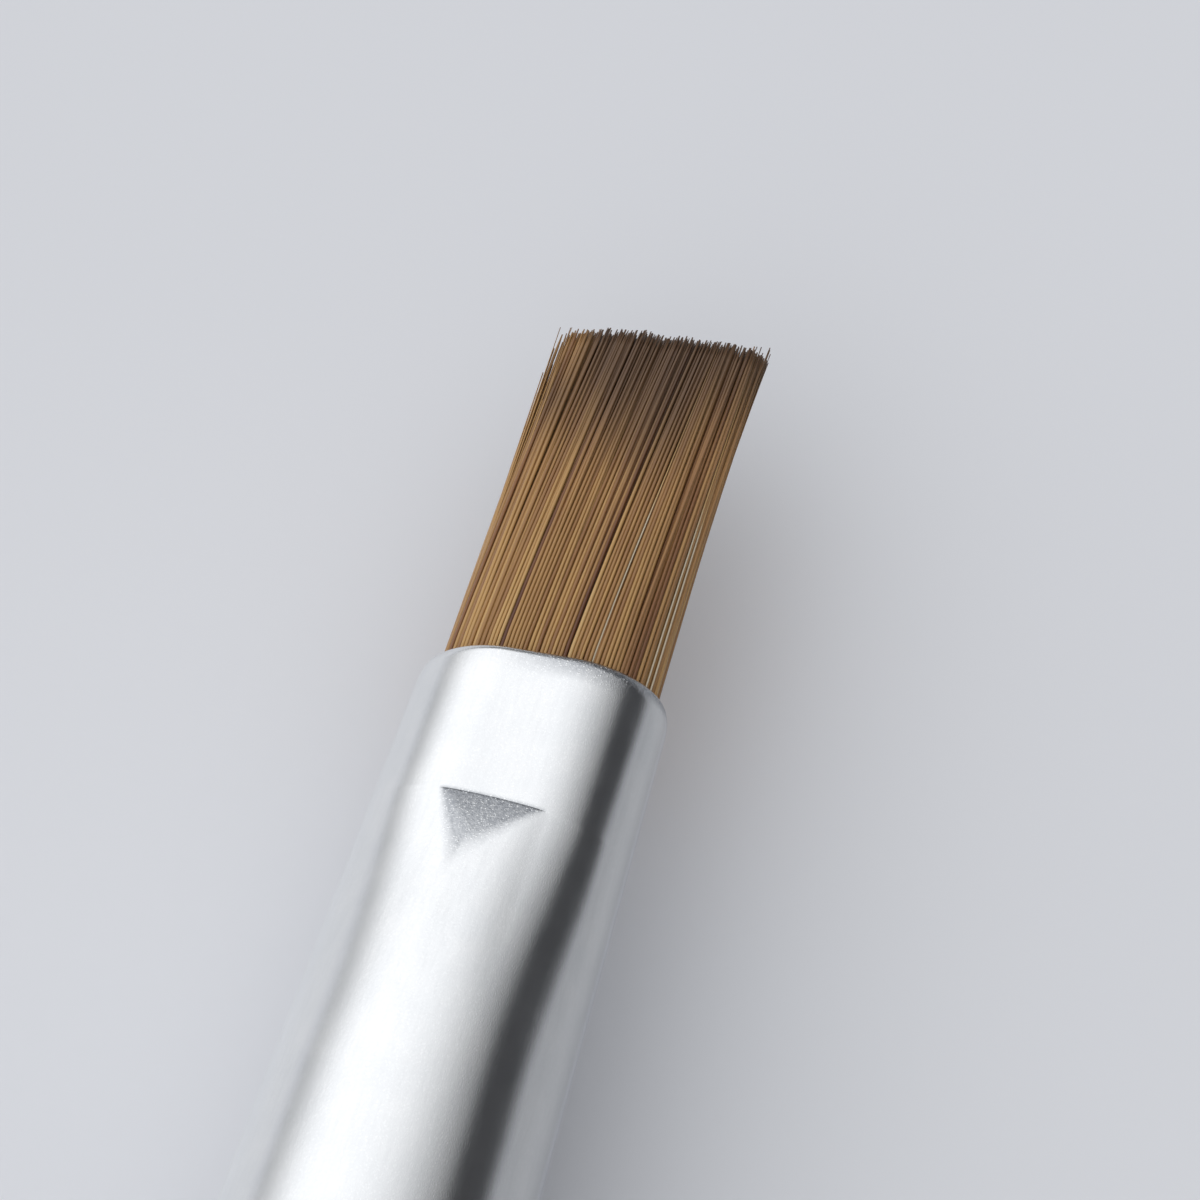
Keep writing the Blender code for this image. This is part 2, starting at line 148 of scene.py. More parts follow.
class Nodes:
    """Short names for the shader nodes that the materials share."""

    def __init__(self, tree):
        self.tree = tree

    def add(self, kind, **settings):
        node = self.tree.nodes.new(kind)
        for key, value in settings.items():
            setattr(node, key, value)
        return node

    def put(self, socket, value):
        if isinstance(value, bpy.types.NodeSocket):
            self.tree.links.new(value, socket)
        else:
            socket.default_value = value

    def fill(self, node, values):
        for key, value in values.items():
            self.put(node.inputs[key], value)
        return node

    def math(self, operation, first, second, clamp=False):
        node = self.add("ShaderNodeMath", operation=operation, use_clamp=clamp)
        return self.fill(node, {0: first, 1: second}).outputs[0]

    def total(self, first, *others):
        for other in others:
            first = self.math("ADD", first, other)
        return first

    def product(self, first, second):
        return self.math("MULTIPLY", first, second)

    def dot(self, vector, direction):
        node = self.add("ShaderNodeVectorMath", operation="DOT_PRODUCT")
        return self.fill(node, {0: vector, 1: direction}).outputs["Value"]

    def scaled(self, vector, scale):
        node = self.add("ShaderNodeVectorMath", operation="MULTIPLY")
        return self.fill(node, {0: vector, 1: scale}).outputs["Vector"]

    def span(self, value, low, high, to_low=0.0, to_high=1.0, smooth=False):
        node = self.add("ShaderNodeMapRange", interpolation_type="SMOOTHSTEP" if smooth else "LINEAR")
        return self.fill(node, dict(enumerate((value, low, high, to_low, to_high)))).outputs[0]

    def noise(self, vector, scale, detail, roughness=0.5):
        values = {"Vector": vector, "Scale": scale, "Detail": detail, "Roughness": roughness}
        return self.fill(self.add("ShaderNodeTexNoise"), values).outputs["Fac"]

    # Noise drawn out along the brush, or across it where the first scale is the larger
    def streaks(self, place, along, across):
        return self.noise(self.scaled(place, (along, across, across)), 1.0, 2.0)

    # A noise brought to the range from low to high
    def swing(self, noise, low, high):
        return self.span(noise, *NOISE_RANGE, low, high)

    def cells(self, vector, scale):
        node = self.add("ShaderNodeTexVoronoi", feature="F1")
        return self.fill(node, {"Vector": vector, "Scale": scale}).outputs["Distance"]

    def ramp(self, value, stops):
        node = self.add("ShaderNodeValToRGB")
        elements = node.color_ramp.elements
        while len(elements) < len(stops):
            elements.new(0.5)
        for element, (place, colour) in zip(elements, stops):
            element.position = place
            element.color = (*colour, 1.0)
        return self.fill(node, {"Fac": value}).outputs["Color"]

    # A colour that a noise moves between two tones
    def tones(self, noise, first, second):
        return self.ramp(noise, list(zip(NOISE_RANGE, (first, second))))

    def mix(self, factor, first, second):
        node = self.add("ShaderNodeMix", data_type="RGBA")
        self.put(node.inputs["Factor"], factor)
        for socket, value in ((node.inputs["A"], first), (node.inputs["B"], second)):
            self.put(socket, value if isinstance(value, bpy.types.NodeSocket) else (*value, 1.0))
        return node.outputs["Result"]

    def bump(self, height, distance, strength, below=None):
        values = {"Height": height, "Distance": distance, "Strength": strength}
        if below is not None:
            values["Normal"] = below
        return self.fill(self.add("ShaderNodeBump"), values).outputs[0]

    def attribute(self, name):
        return self.add("ShaderNodeAttribute", attribute_name=name).outputs["Fac"]


def new_material(name):
    material = bpy.data.materials.new(name)
    material.use_nodes = True
    nodes = Nodes(material.node_tree)
    shader = material.node_tree.nodes["Principled BSDF"]
    place = nodes.add("ShaderNodeTexCoord").outputs["Object"]
    return material, nodes, shader, place


def set_surface(nodes, shader, tint, rough, relief):
    nodes.fill(shader, {"Base Color": tint, "Roughness": rough, "Normal": relief})


# Satin aluminium, sparkling with fine dots where the die roughened it. The same share darkens the colour
# between the dots: a painted dark reflection on the triangle behind the groove, and painted shade in the groove
# and on the rim's right part.
def ferrule_material():
    material, nodes, shader, place = new_material("ferrule_satin")
    worked_shade = nodes.attribute("worked_shade")
    soft = nodes.noise(place, 900.0, 2.0)
    drawn = nodes.streaks(place, 700.0, 9000.0)
    grain = nodes.noise(place, 30000.0, 2.0, 0.6)
    clouds = nodes.noise(place, 11000.0, 1.0)
    dots = nodes.span(nodes.cells(place, 15000.0), 0.10, 0.42, 1.0, 0.0, smooth=True)
    dots = nodes.product(dots, nodes.span(clouds, 0.40, 0.58, smooth=True))
    between_dots = nodes.span(dots, 0.0, 0.55, 1.0, 0.0)
    grey = nodes.product(between_dots, nodes.span(clouds, 0.30, 0.62, 0.98, 0.74))
    tint = nodes.tones(soft, (0.85, 0.86, 0.875), (0.90, 0.905, 0.915))
    tint = nodes.mix(nodes.span(drawn, 0.45, 0.70, 0.0, 0.14), tint, (0.76, 0.77, 0.79))
    # Painted shade: the colour turns dark grey where the share is high
    tint = nodes.mix(nodes.product(worked_shade, grey), tint, (0.285, 0.30, 0.33))
    rough = nodes.total(
        nodes.swing(drawn, 0.15, 0.19),
        nodes.product(worked_shade, 0.05),
        nodes.swing(soft, -0.015, 0.015),
    )
    relief = nodes.bump(drawn, 0.0000006, 0.4)
    relief = nodes.bump(grain, 0.0000026, 0.6, relief)
    speckle = nodes.product(nodes.total(dots, nodes.product(grain, 1.5)), worked_shade)
    relief = nodes.bump(speckle, 0.0000060, 1.0, relief)
    set_surface(nodes, shader, tint, rough, relief)
    shader.inputs["Metallic"].default_value = 1.0
    shader.inputs["Specular Tint"].default_value = (0.92, 0.93, 0.95, 1.0)
    return material


# Anodised tube: matt grain, faint draw lines along it and turned rings on its end face
def tube_material():
    material, nodes, shader, place = new_material("tube_satin")
    end = nodes.attribute("end_face")
    radius = nodes.attribute("axis_distance")
    edge = nodes.attribute("edge_wear")
    soft = nodes.noise(place, 260.0, 3.0)
    lines = nodes.streaks(place, 120.0, 5200.0)
    grain = nodes.noise(place, 14000.0, 2.0, 0.6)
    rings = nodes.math("SINE", nodes.product(radius, 52000.0), 0.0)
    tint = nodes.tones(soft, (0.735, 0.745, 0.765), (0.79, 0.80, 0.815))
    tint = nodes.mix(nodes.product(edge, nodes.span(grain, 0.35, 0.6)), tint, (0.90, 0.90, 0.90))
    rough = nodes.total(nodes.swing(lines, 0.26, 0.33), nodes.swing(soft, -0.02, 0.03))
    rough = nodes.math("SUBTRACT", rough, nodes.product(edge, 0.10))
    relief = nodes.bump(nodes.total(nodes.product(lines, 0.6), grain), 0.0000016, 0.4)
    relief = nodes.bump(nodes.product(rings, end), 0.0000016, 0.6, relief)
    set_surface(nodes, shader, tint, rough, relief)
    shader.inputs["Metallic"].default_value = 1.0
    return material


# Moulded plastic: fine spark-eroded grain, rubbed smoother on its edges, with faint scuffs
def plastic_material(name, dark, light, roughness):
    material, nodes, shader, place = new_material(name)
    edge = nodes.attribute("edge_wear")
    soft = nodes.noise(place, 500.0, 3.0)
    grain = nodes.noise(place, 16000.0, 2.0, 0.6)
    scuffs = nodes.streaks(place, 9000.0, 900.0)
    rubbed = tuple(1.9 * part for part in light)
    tint = nodes.mix(nodes.product(edge, 0.5), nodes.tones(soft, dark, light), rubbed)
    rough = nodes.swing(grain, roughness - 0.05, roughness + 0.07)
    rough = nodes.math("SUBTRACT", rough, nodes.product(edge, 0.12))
    relief = nodes.bump(nodes.total(grain, nodes.product(scuffs, 0.5)), 0.0000030, 0.6)
    set_surface(nodes, shader, tint, rough, relief)
    return material


# Cured amber resin with a faint unevenness
def resin_material():
    material, nodes, shader, place = new_material("resin_amber")
    soft = nodes.noise(place, 1500.0, 3.0)
    tint = nodes.tones(soft, (0.26, 0.16, 0.07), (0.38, 0.26, 0.13))
    set_surface(nodes, shader, tint, nodes.swing(soft, 0.22, 0.38), nodes.bump(soft, 0.00002, 0.5))
    return material


# Brown filament: every strand has its own tone. Towards the cut the tones draw together and the
# strands turn dark, less so at the right side and least at the left corner, where the lighter colour is painted
# backlight.
def filament_material():
    material, nodes, shader, place = new_material("filament_brown")
    tone = nodes.attribute("tone")
    along = nodes.attribute("along")
    across = nodes.dot(place, Y_AXIS)
    mottle = nodes.streaks(place, 350.0, 6000.0)
    middle = 0.52
    spread = nodes.span(along, 0.10, 0.70, 1.0, 0.50)
    level = nodes.span(along, 0.10, 0.55, middle, 0.44)
    tone = nodes.total(nodes.product(nodes.math("SUBTRACT", tone, middle), spread), level)
    shade = nodes.math("ADD", tone, nodes.swing(mottle, -0.07, 0.07), clamp=True)
    body = nodes.ramp(
        shade,
        [
            (0.00, (0.110, 0.038, 0.018)),
            (0.22, (0.245, 0.108, 0.042)),
            (0.48, (0.385, 0.205, 0.076)),
            (0.75, (0.530, 0.315, 0.118)),
            (0.95, (0.620, 0.405, 0.180)),
            (1.00, (0.680, 0.590, 0.440)),
        ],
    )
    end = nodes.ramp(shade, [(0.0, (0.070, 0.034, 0.018)), (0.9, (0.140, 0.078, 0.042))])
    patch = nodes.swing(nodes.streaks(place, 120.0, 700.0), -0.08, 0.08)
    right_side = nodes.span(across, -0.0029, -0.0012, -0.20, 0.0)
    # Painted backlight: the left corner near the cut stays lighter
    lit_left_corner = nodes.span(across, 0.0013, 0.0021, 0.0, -0.36)
    lit_left_corner = nodes.product(lit_left_corner, nodes.span(along, 0.76, 0.94))
    tip_darkening = nodes.total(nodes.total(along, lit_left_corner), nodes.total(patch, right_side))
    dull = nodes.span(tip_darkening, 0.48, 0.94, 0.0, 0.95, smooth=True)
    relief = nodes.bump(mottle, 0.000002, 0.4)
    set_surface(nodes, shader, nodes.mix(dull, body, end), nodes.swing(mottle, 0.34, 0.46), relief)
    return material


# ---------------------------------------------------------------- turned pieces


TURNED_SIDES = 160
ARC_STEPS = 7
MOST_ROUNDED = 0.45
GUARD = 0.04 * MM
GUARDED_LENGTH = 5 * GUARD
PROFILE_STEP = 2.0 * MM
ON_AXIS = 1e-9
WEAR_REACH = 0.35 * MM
WORN_FROM_RADIUS = 0.9 * BODY_RADIUS
END_FACING = 0.9

BORE_LIP_ROUND = 0.04 * MM
TUBE_EDGE_ROUND = 0.12 * MM
FLANGE_ROUND = 0.10 * MM
PLUG_END_ROUND = 0.3 * MM
NECK_FILLET = 0.15 * MM
NECK_END_ROUND = 0.12 * MM
SPIGOT_END_ROUND = 0.4 * MM
CAP_END_WALL = 0.8 * MM
CAP_END_ROUND = 0.9 * MM
CAP_BORE_ROUND = 0.4 * MM
DISH_DEPTH = 0.07 * MM
DISH_RADIUS = 3.55 * MM
DISH_FLOOR_RADIUS = 3.30 * MM
DISH_ROUND = 0.25 * MM
LINER_MOUTH_ROUND = 0.15 * MM
LINER_EDGE_ROUND = 0.05 * MM


# Where the rounding of a corner begins on the side that leads to another corner
def rounding_start(here, there, rounding):
    way = there - here
    length = np.linalg.norm(way)
    return here + way / length * min(rounding, MOST_ROUNDED * length)


# From corners (x, radius, rounding) to a profile whose corners are arcs
def with_arcs(corners, closed):
    profile = []
    count = len(corners)
    for index, (x, radius, rounding) in enumerate(corners):
        here = np.array((x, radius))
        if rounding == 0.0 or (not closed and index in (0, count - 1)):
            profile.append(here)
            continue
        start = rounding_start(here, np.array(corners[index - 1][:2]), rounding)
        end = rounding_start(here, np.array(corners[(index + 1) % count][:2]), rounding)
        for step in range(ARC_STEPS + 1):
            share = step / ARC_STEPS
            profile.append((1 - share) ** 2 * start + 2 * share * (1 - share) * here + share ** 2 * end)
    return profile


# The profile with a point close to both ends of every long side, which keeps the shading of the side flat
def rounded_profile(corners, closed):
    profile = with_arcs(corners, closed)
    following = profile[1:] + profile[:1] if closed else profile[1:]
    full = []
    for first, second in zip(profile, following):
        full.append(first)
        length = np.linalg.norm(second - first)
        if length > GUARDED_LENGTH:
            full.append(first + (second - first) * GUARD / length)
            pieces = max(1, round(length / PROFILE_STEP))
            full += [first + (second - first) * part / pieces for part in range(1, pieces)]
            full.append(second - (second - first) * GUARD / length)
    if not closed:
        full.append(profile[-1])
    return full


def turned_piece(name, corners, closed, material):
    angles = np.arange(TURNED_SIDES) * math.tau / TURNED_SIDES
    points, rings = [], []
    for x, radius in rounded_profile(corners, closed):
        first = len(points)
        if radius < ON_AXIS:
            points.append((x, 0.0, AXIS_Z))
            rings.append([first])
            continue
        points += [(x, radius * math.sin(a), AXIS_Z + radius * math.cos(a)) for a in angles]
        rings.append(list(range(first, first + TURNED_SIDES)))
    faces = []
    pairs = list(zip(rings, rings[1:])) + ([(rings[-1], rings[0])] if closed else [])
    for first, second in pairs:
        for side in range(TURNED_SIDES):
            following = (side + 1) % TURNED_SIDES
            if len(first) == 1:
                faces.append((first[0], second[following], second[side]))
            elif len(second) == 1:
                faces.append((first[side], first[following], second[0]))
            else:
                faces.append((first[side], first[following], second[following], second[side]))
    piece = mesh_piece(name, points, faces, material)
    mark_turned(piece.data, corners)
    return piece


# Vertex values that the materials read: closeness to a worn edge, end faces, and distance from the axis
def mark_turned(mesh, corners):
    edges = [(x, radius) for x, radius, rounding in corners if rounding > 0.0 and radius > WORN_FROM_RADIUS]
    wear, end_face, distance = [], [], []
    for vertex in mesh.vertices:
        x = vertex.co.x
        radius = math.hypot(vertex.co.y, vertex.co.z - AXIS_Z)
        nearest = min([math.hypot(x - edge_x, radius - edge_r) for edge_x, edge_r in edges], default=1.0)
        wear.append(max(0.0, 1.0 - nearest / WEAR_REACH))
        end_face.append(1.0 if abs(vertex.normal.x) > END_FACING else 0.0)
        distance.append(radius)
    set_values(mesh, "edge_wear", wear)
    set_values(mesh, "end_face", end_face)
    set_values(mesh, "axis_distance", distance)


def barrel_corners():
    return [
        (BARREL_FRONT, BORE_RADIUS, BORE_LIP_ROUND),
        (BARREL_FRONT, BODY_RADIUS, TUBE_EDGE_ROUND),
        (BARREL_BACK, BODY_RADIUS, TUBE_EDGE_ROUND),
        (BARREL_BACK, BORE_RADIUS, BORE_LIP_ROUND),
    ]


def neck_corners():
    return [
        (NECK_PLUG_END, 0.0, 0.0),
        (NECK_PLUG_END, PLUG_RADIUS, PLUG_END_ROUND),
        (NECK_ROOT - FLANGE_LENGTH, PLUG_RADIUS, 0.0),
        (NECK_ROOT - FLANGE_LENGTH, BODY_RADIUS, FLANGE_ROUND),
        (NECK_ROOT, BODY_RADIUS, FLANGE_ROUND),
        (NECK_ROOT, NECK_RADIUS, NECK_FILLET),
        (NECK_END, NECK_RADIUS, NECK_END_ROUND),
        (NECK_END, NOSE_BASE_RADIUS, 0.0),
        (NOSE_END, NOSE_TIP_RADIUS, PLUG_END_ROUND),
        (NOSE_END, 0.0, 0.0),
    ]


def tail_corners():
    return [
        (TAIL_SPIGOT_END, 0.0, 0.0),
        (TAIL_SPIGOT_END, NECK_RADIUS, SPIGOT_END_ROUND),
        (TAIL_ROOT, NECK_RADIUS, 0.0),
        (TAIL_ROOT, BODY_RADIUS, FLANGE_ROUND),
        (TAIL_ROOT + FLANGE_LENGTH, BODY_RADIUS, FLANGE_ROUND),
        (TAIL_ROOT + FLANGE_LENGTH, PLUG_RADIUS, 0.0),
        (TAIL_PLUG_END, PLUG_RADIUS, PLUG_END_ROUND),
        (TAIL_PLUG_END, 0.0, 0.0),
    ]


def cap_corners():
    return [
        (CAP_END + CAP_END_WALL, 0.0, 0.0),
        (CAP_END + CAP_END_WALL, BORE_RADIUS, CAP_BORE_ROUND),
        (CAP_MOUTH, BORE_RADIUS, BORE_LIP_ROUND),
        (CAP_MOUTH, BODY_RADIUS, TUBE_EDGE_ROUND),
        (CAP_END, BODY_RADIUS, CAP_END_ROUND),
        (CAP_END, DISH_RADIUS, DISH_ROUND),
        (CAP_END + DISH_DEPTH, DISH_FLOOR_RADIUS, DISH_ROUND),
        (CAP_END + DISH_DEPTH, 0.0, 0.0),
    ]


def liner_corners():
    return [
        (LINER_FRONT, LINER_BORE, LINER_MOUTH_ROUND),
        (LINER_FRONT, PLUG_RADIUS, LINER_EDGE_ROUND),
        (LINER_BACK, PLUG_RADIUS, LINER_EDGE_ROUND),
        (LINER_BACK, LINER_BORE, LINER_EDGE_ROUND),
    ]


# ---------------------------------------------------------------- ferrule


QUARTER_POINTS = 44
FLAT_POINTS = 36
RIM_POINTS = 12
RIM_ROUND = 0.28 * MM
RIM_REACH_MM = 0.26
RIM_SHOULDER_REACH_MM = 0.40
BASE_POINTS = 6
BASE_ROUND = 0.08 * MM
INNER_DEPTHS = (FERRULE_LENGTH, 14.0 * MM, 11.0 * MM, 9.0 * MM, 7.0 * MM, 6.0 * MM, CREASE_DEPTH, 2.0 * MM, 0.0)

# The metal that the die pushed up behind the crease
SWELL_HEIGHT = 0.12 * MM
SWELL_HALF_WIDTH = 1.4 * MM
SWELL_FADE_START = 1.2 * MM
SWELL_FADE_END = 7.0 * MM
FACET_LENGTH = 1.55 * MM
FACET_BLEND_SHARE = 0.07

# The groove that the die's edge left, bowed towards the mouth
GROOVE_DEPTH = 0.018 * MM
GROOVE_WIDTH = 0.024 * MM
GROOVE_REACH = 1.36 * MM
GROOVE_END_POWER = 6
CREASE_BOW = 0.05 * MM
CREASE_BOW_LENGTH = 0.9 * MM

# How much the die roughened the metal and how much painted shade darkens it, from 0 to 1. The rim's share rises
# towards the right, painted shade on its side away from the light.
WORKED_SHADE_LEAST = 0.10
WORKED_SHADE_INSIDE = 0.2
RIM_WORKED_SHADE_DEPTH = 0.16 * MM
RIM_WORKED_SHADE_WIDTH = 0.22 * MM
RIM_WORKED_SHADE_LEAST = 0.25
RIM_WORKED_SHADE_MIDDLE = 0.62
RIM_WORKED_SHADE_RISE = 0.45
GROOVE_WORKED_SHADE = 0.5
GROOVE_WORKED_SHADE_WIDTH = 0.05 * MM

# The roughened triangle behind the groove, which the colour darkens as a painted dark reflection: its edges
# grow softer and its share falls with the distance
PATCH_LENGTH = 2.6 * MM
PATCH_DRIFT = 0.22
PATCH_LEFT_SOFTNESS = 0.10 * MM
PATCH_LEFT_SOFTENING = 0.22
PATCH_RIGHT_SOFTNESS = 0.14 * MM
PATCH_RIGHT_SOFTENING = 0.50
PATCH_WORKED_SHADE = 0.90
PATCH_FADE = 0.70


# Half the width and half the height of the section, and half the width of the flat on its top
def ferrule_section(depth):
    half_width = MOUTH_HALF_WIDTH + TAPER * depth
    if depth <= CREASE_DEPTH:
        share = depth / CREASE_DEPTH
        half_height = MOUTH_HALF_HEIGHT + (CREASE_HALF_HEIGHT - MOUTH_HALF_HEIGHT) * share
        return half_width, half_height, MOUTH_FLAT + (CREASE_FLAT - MOUTH_FLAT) * share
    share = min(1.0, (depth - CREASE_DEPTH) / RAMP_LENGTH)
    rise = (CREASE_HALF_HEIGHT - MOUTH_HALF_HEIGHT) / CREASE_DEPTH - TAPER
    crease_drop = MOUTH_HALF_WIDTH + TAPER * CREASE_DEPTH - CREASE_HALF_HEIGHT
    drop = (crease_drop * (1 + 2 * share) - rise * RAMP_LENGTH * share) * (1 - share) ** 2
    return half_width, half_width - drop, CREASE_FLAT * (1 - share) ** RAMP_FLAT_POWER


# Radii of the two arcs between the flat and the side
def arc_radii(half_width, half_height, flat):
    sine, cosine = math.sin(ARC_JOINT), math.cos(ARC_JOINT)
    reach = half_width - flat
    crown = (half_height * (1 - sine) - reach * cosine) / (1 - cosine - sine)
    side = (reach * (1 - cosine) - half_height * sine) / (1 - cosine - sine)
    return crown, side


# One ring of the section: side arc, crown arc and flat, above and below
def section_ring(depth, inset):
    half_width, half_height, flat = ferrule_section(depth)
    crown, side = arc_radii(half_width, half_height, flat)
    quarter = []
    for step in range(QUARTER_POINTS):
        lean = math.pi / 2 * (step + 0.5) / QUARTER_POINTS
        if lean < math.pi / 2 - ARC_JOINT:
            across = half_width - side + (side - inset) * math.cos(lean)
            quarter.append((across, (side - inset) * math.sin(lean)))
        else:
            across = flat + (crown - inset) * math.cos(lean)
            quarter.append((across, half_height - crown + (crown - inset) * math.sin(lean)))
    top = []
    for step in range(1, FLAT_POINTS):
        across = quarter[-1][0] * (1 - 2 * step / FLAT_POINTS)
        beyond = max(0.0, abs(across) - flat)
        top.append((across, half_height - crown + math.sqrt((crown - inset) ** 2 - beyond ** 2)))
    upper = quarter + top + [(-y, z) for y, z in reversed(quarter)]
    return upper + [(-y, -z) for y, z in upper]


# Extra height of the pushed-up metal: a swell, cut off by a triangular facet
def swell(depth, y):
    behind = depth - CREASE_DEPTH
    if behind <= 0.0 or behind >= SWELL_FADE_END or abs(y) >= SWELL_HALF_WIDTH:
        return 0.0
    fade = limited((SWELL_FADE_END - behind) / (SWELL_FADE_END - SWELL_FADE_START))
    height = SWELL_HEIGHT * fade * fade * (3 - 2 * fade)
    crown = height * (1 - (y / SWELL_HALF_WIDTH) ** 2) ** 1.5
    facet = height * (1 - max(0.0, 1 - behind / FACET_LENGTH) ** 2)
    reach = FACET_BLEND_SHARE * height
    blend = max(0.0, reach - abs(crown - facet))
    return min(crown, facet) - blend ** 2 / (4 * reach)


# A point of the section in its place, with the mouth's slant, the swell and the groove
def pressed(depth, y, z):
    reach = min(1.0, abs(y) / GROOVE_REACH)
    behind = depth - CREASE_DEPTH
    groove = GROOVE_DEPTH * bell(behind, GROOVE_WIDTH) * (1 - reach ** GROOVE_END_POWER)
    bow = CREASE_BOW * (1 - reach ** 2) * bell(behind, CREASE_BOW_LENGTH)
    slant = MOUTH_SLANT * y * max(0.0, 1 - depth / CREASE_DEPTH)
    height = abs(z) + swell(depth, y) - groove
    return MOUTH - depth - slant + bow, y, math.copysign(height, z)


# Share of die roughening and of painted shade at a place on the ferrule's outside
def worked_shade_share(depth, y):
    behind = depth - CREASE_DEPTH
    if behind <= 0.0:
        rim = bell(depth - RIM_WORKED_SHADE_DEPTH, RIM_WORKED_SHADE_WIDTH)
        rim *= limited(RIM_WORKED_SHADE_MIDDLE - RIM_WORKED_SHADE_RISE * y / MM, RIM_WORKED_SHADE_LEAST)
        groove = GROOVE_WORKED_SHADE * bell(behind, GROOVE_WORKED_SHADE_WIDTH) * (abs(y) < GROOVE_REACH)
        return max(rim, WORKED_SHADE_LEAST + groove)
    half_width = GROOVE_REACH * (1 - behind / PATCH_LENGTH)
    aside = y - PATCH_DRIFT * behind
    softness = PATCH_LEFT_SOFTNESS + PATCH_LEFT_SOFTENING * behind
    if aside <= 0.0:
        softness = PATCH_RIGHT_SOFTNESS + PATCH_RIGHT_SOFTENING * behind
    inside = limited((half_width - abs(aside)) / softness)
    return WORKED_SHADE_LEAST + PATCH_WORKED_SHADE * inside * (1 - PATCH_FADE * min(1.0, behind / PATCH_LENGTH))


# Depths of the outside's rings: closest at the groove, then on the ramp
def ferrule_depths():
    plate_start, plate_step = 0.8 * MM, 0.3 * MM
    groove_step = 0.012 * MM
    ramp_start, ramp_step = CREASE_DEPTH + 0.14 * MM, 0.07 * MM
    ramp_gap, base_gap = 0.2 * MM, 0.10 * MM
    plate = [plate_start + plate_step * step for step in range(13)]
    groove = [CREASE_DEPTH + groove_step * step for step in range(-9, 10)]
    ramp = [ramp_start + ramp_step * step for step in range(64)]
    cone = list(np.linspace(ramp[-1] + ramp_gap, FERRULE_LENGTH - base_gap, 36))
    return plate + groove + ramp + cone


# Rings of the rolled rim. Its round reaches further back at the sides, where the mouth has soft shoulders.
def rim_rings():
    rings = []
    for step in range(RIM_POINTS, -1, -1):
        angle = math.pi / 2 * step / RIM_POINTS
        share = 1 - math.sin(angle)
        ring = []
        for y, z in section_ring(0.0, RIM_ROUND * (1 - math.cos(angle))):
            side = limited((abs(y) - MOUTH_FLAT) / (MOUTH_HALF_WIDTH - MOUTH_FLAT))
            depth = share * (RIM_REACH_MM + RIM_SHOULDER_REACH_MM * side ** 2) * MM
            half_width, half_height, _ = ferrule_section(depth)
            ring.append((depth, y * half_width / MOUTH_HALF_WIDTH, z * half_height / MOUTH_HALF_HEIGHT))
        rings.append(ring)
    return rings


# Rings of the section at some depths, each drawn in by its inset
def plain_rings(places):
    return [[(depth, y, z) for y, z in section_ring(depth, inset)] for depth, inset in places]


# Depths and insets of the rounded edge at the ferrule's back
def base_places():
    angles = [math.pi / 2 * step / BASE_POINTS for step in range(1, BASE_POINTS + 1)]
    return [
        (FERRULE_LENGTH - BASE_ROUND * (1 - math.sin(angle)), BASE_ROUND * (1 - math.cos(angle)))
        for angle in angles
    ]


def ferrule_piece(material):
    rings = rim_rings() + plain_rings([(depth, 0.0) for depth in ferrule_depths()] + base_places())
    outside = len(rings)
    rings += plain_rings([(depth, WALL) for depth in INNER_DEPTHS])
    points, worked_shade = [], []
    for index, ring in enumerate(rings):
        for depth, section_y, section_z in ring:
            x, y, z = pressed(depth, section_y, section_z)
            points.append((x, y, AXIS_Z + z))
            worked_shade.append(worked_shade_share(depth, y) if index < outside else WORKED_SHADE_INSIDE)
    count = len(rings[0])
    faces = []
    for first in range(len(rings)):
        low, high = first * count, (first + 1) % len(rings) * count
        for side in range(count):
            following = (side + 1) % count
            faces.append((low + side, low + following, high + following, high + side))
    piece = mesh_piece("ferrule_skin", points, faces, material)
    set_values(piece.data, "worked_shade", worked_shade)
    return piece


# ---------------------------------------------------------------- tuft


STRAND_SIDES = 6
STRAND_SPACING = 0.112 * MM
STRAND_RADIUS = 0.054 * MM
STATION_SHARES = (0.0, 0.13, 0.26, 0.39, 0.52, 0.65, 0.77, 0.88, 0.955, 1.0)
MOST_OUT = 1.1

# The roots in the ferrule's mouth: rows of filaments with a skin of them along the section
TUFT_ROOT_DEPTH = 0.9 * MM
ROOT_INSET = WALL + 0.03 * MM
ROOT_HALF_WIDTH = MOUTH_HALF_WIDTH - ROOT_INSET
ROOT_HALF_HEIGHT = MOUTH_HALF_HEIGHT - ROOT_INSET
ROW_SHARE = 0.866
ROW_MARGIN = 0.8 * STRAND_RADIUS
SKIN_MARGIN = 1.9 * STRAND_RADIUS
SKIN_STRANDS = 54
ROOT_JITTER = (0.019 * MM, 0.011 * MM)

# The tuft's shape at the tip, as shares of the root's and as shifts
TIP_WIDTH_SHARE = 0.93
TIP_THICKNESS_SHARE = 0.38
TUFT_BEND = 0.16 * MM
LEAN = 0.42 * MM
LEAN_POWER = 1.2
CUT_SLANT = 0.58 * MM
CUT_UNEVENNESS = 0.17 * MM
CUT_UNEVENNESS_POWER = 1.5
CUT_EXTRA = 0.14 * MM

# Locks of filaments that lean, lift and shade together
LOCK_EDGES = (-0.86, -0.66, -0.47, -0.17, 0.05, 0.22, 0.41, 0.63, 0.85)
LOCK_LEAN = 0.05 * MM
LOCK_LIFT = 0.04 * MM
LOCK_TONE = 0.07
LOCK_GATHER = 0.05
LOCK_GATHER_POWER = 0.7
OWN_LEAN = 0.048 * MM
OWN_LIFT = 0.015 * MM
LIFT_POWER = 1.3
WAVE_SIZE = 0.020 * MM
WAVE_TURN = 5.0

# Two gaps between locks, widest before the tip. The strands beside them take a dark tone: painted shade.
OPEN_EDGES = (-0.17, 0.41)
GAP_REACH = 0.09 * MM
GAP_WIDTH = 0.022 * MM
GAP_END = 1.25
GAP_SHADE_TONE = 0.04
GAP_SHADE_REACH = 0.045 * MM

